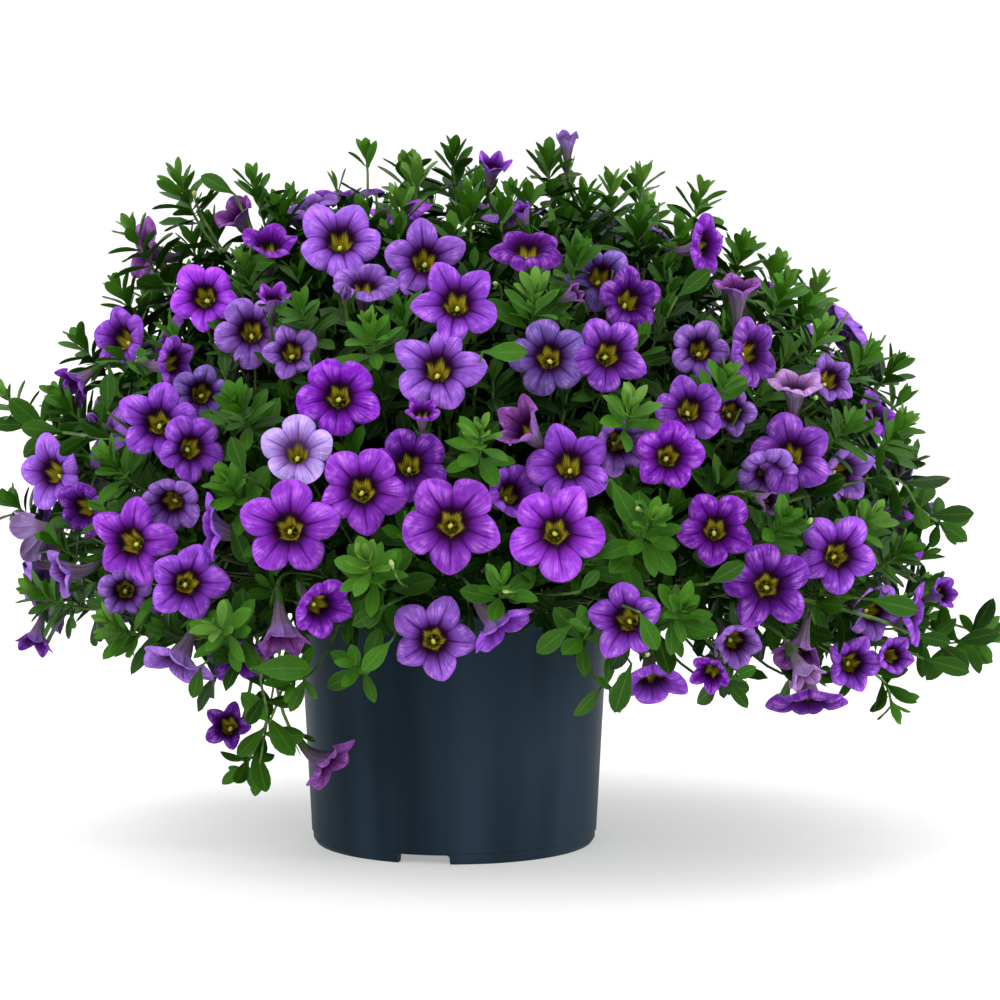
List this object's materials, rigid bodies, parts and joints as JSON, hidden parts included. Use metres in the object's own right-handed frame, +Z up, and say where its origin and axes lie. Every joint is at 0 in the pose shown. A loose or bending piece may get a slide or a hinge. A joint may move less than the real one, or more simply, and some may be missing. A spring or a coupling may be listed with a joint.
{
  "type": "potted calibrachoa",
  "caption": "Potted trailing bedding plant: a dense dome of small violet trumpet blooms and narrow green leaves over a tapered round plastic pot of compost.",
  "frame": {"origin": "on the pot's axis, at the surface that the pot's foot stands on", "axes": "+Z up along the pot's axis, +X to the right of the show side, which faces -Y"},
  "size_m": [0.4063, 0.3581, 0.2797],
  "materials": {
    "pot_plastic": "satin",
    "compost": "matte",
    "foliage": "satin",
    "petals": "matte"
  },
  "bodies": {
    "root": {"pot": "pot_plastic", "soil": "compost", "branch_1": "foliage", "branch_2": "foliage", "branch_3": "foliage", "branch_4": "foliage", "branch_5": "foliage", "branch_6": "foliage", "bloom_01": "petals", "bloom_02": "petals", "bloom_03": "petals", "bloom_04": "petals", "bloom_05": "petals", "bloom_06": "petals", "bloom_07": "petals", "bloom_08": "petals", "bloom_09": "petals", "bloom_10": "petals", "bloom_11": "petals", "bloom_12": "petals", "bloom_13": "petals", "bloom_14": "petals", "bloom_15": "petals", "bloom_16": "petals", "bloom_17": "petals", "bloom_18": "petals", "bloom_19": "petals", "bloom_20": "petals", "bloom_21": "petals", "bloom_22": "petals", "bloom_23": "petals", "bloom_24": "petals", "bloom_25": "petals", "bloom_26": "petals", "bloom_27": "petals", "bloom_28": "petals", "bloom_29": "petals", "bloom_30": "petals", "bloom_31": "petals", "bloom_32": "petals", "bloom_33": "petals", "bloom_34": "petals", "bloom_35": "petals", "bloom_36": "petals", "bloom_37": "petals", "bloom_38": "petals", "bloom_39": "petals", "bloom_40": "petals", "bloom_41": "petals", "bloom_42": "petals", "bloom_43": "petals", "bloom_44": "petals", "bloom_45": "petals", "bloom_46": "petals", "bloom_47": "petals", "bloom_48": "petals", "bloom_49": "petals", "bloom_50": "petals", "bloom_51": "petals", "bloom_52": "petals"}
  },
  "joints": []
}
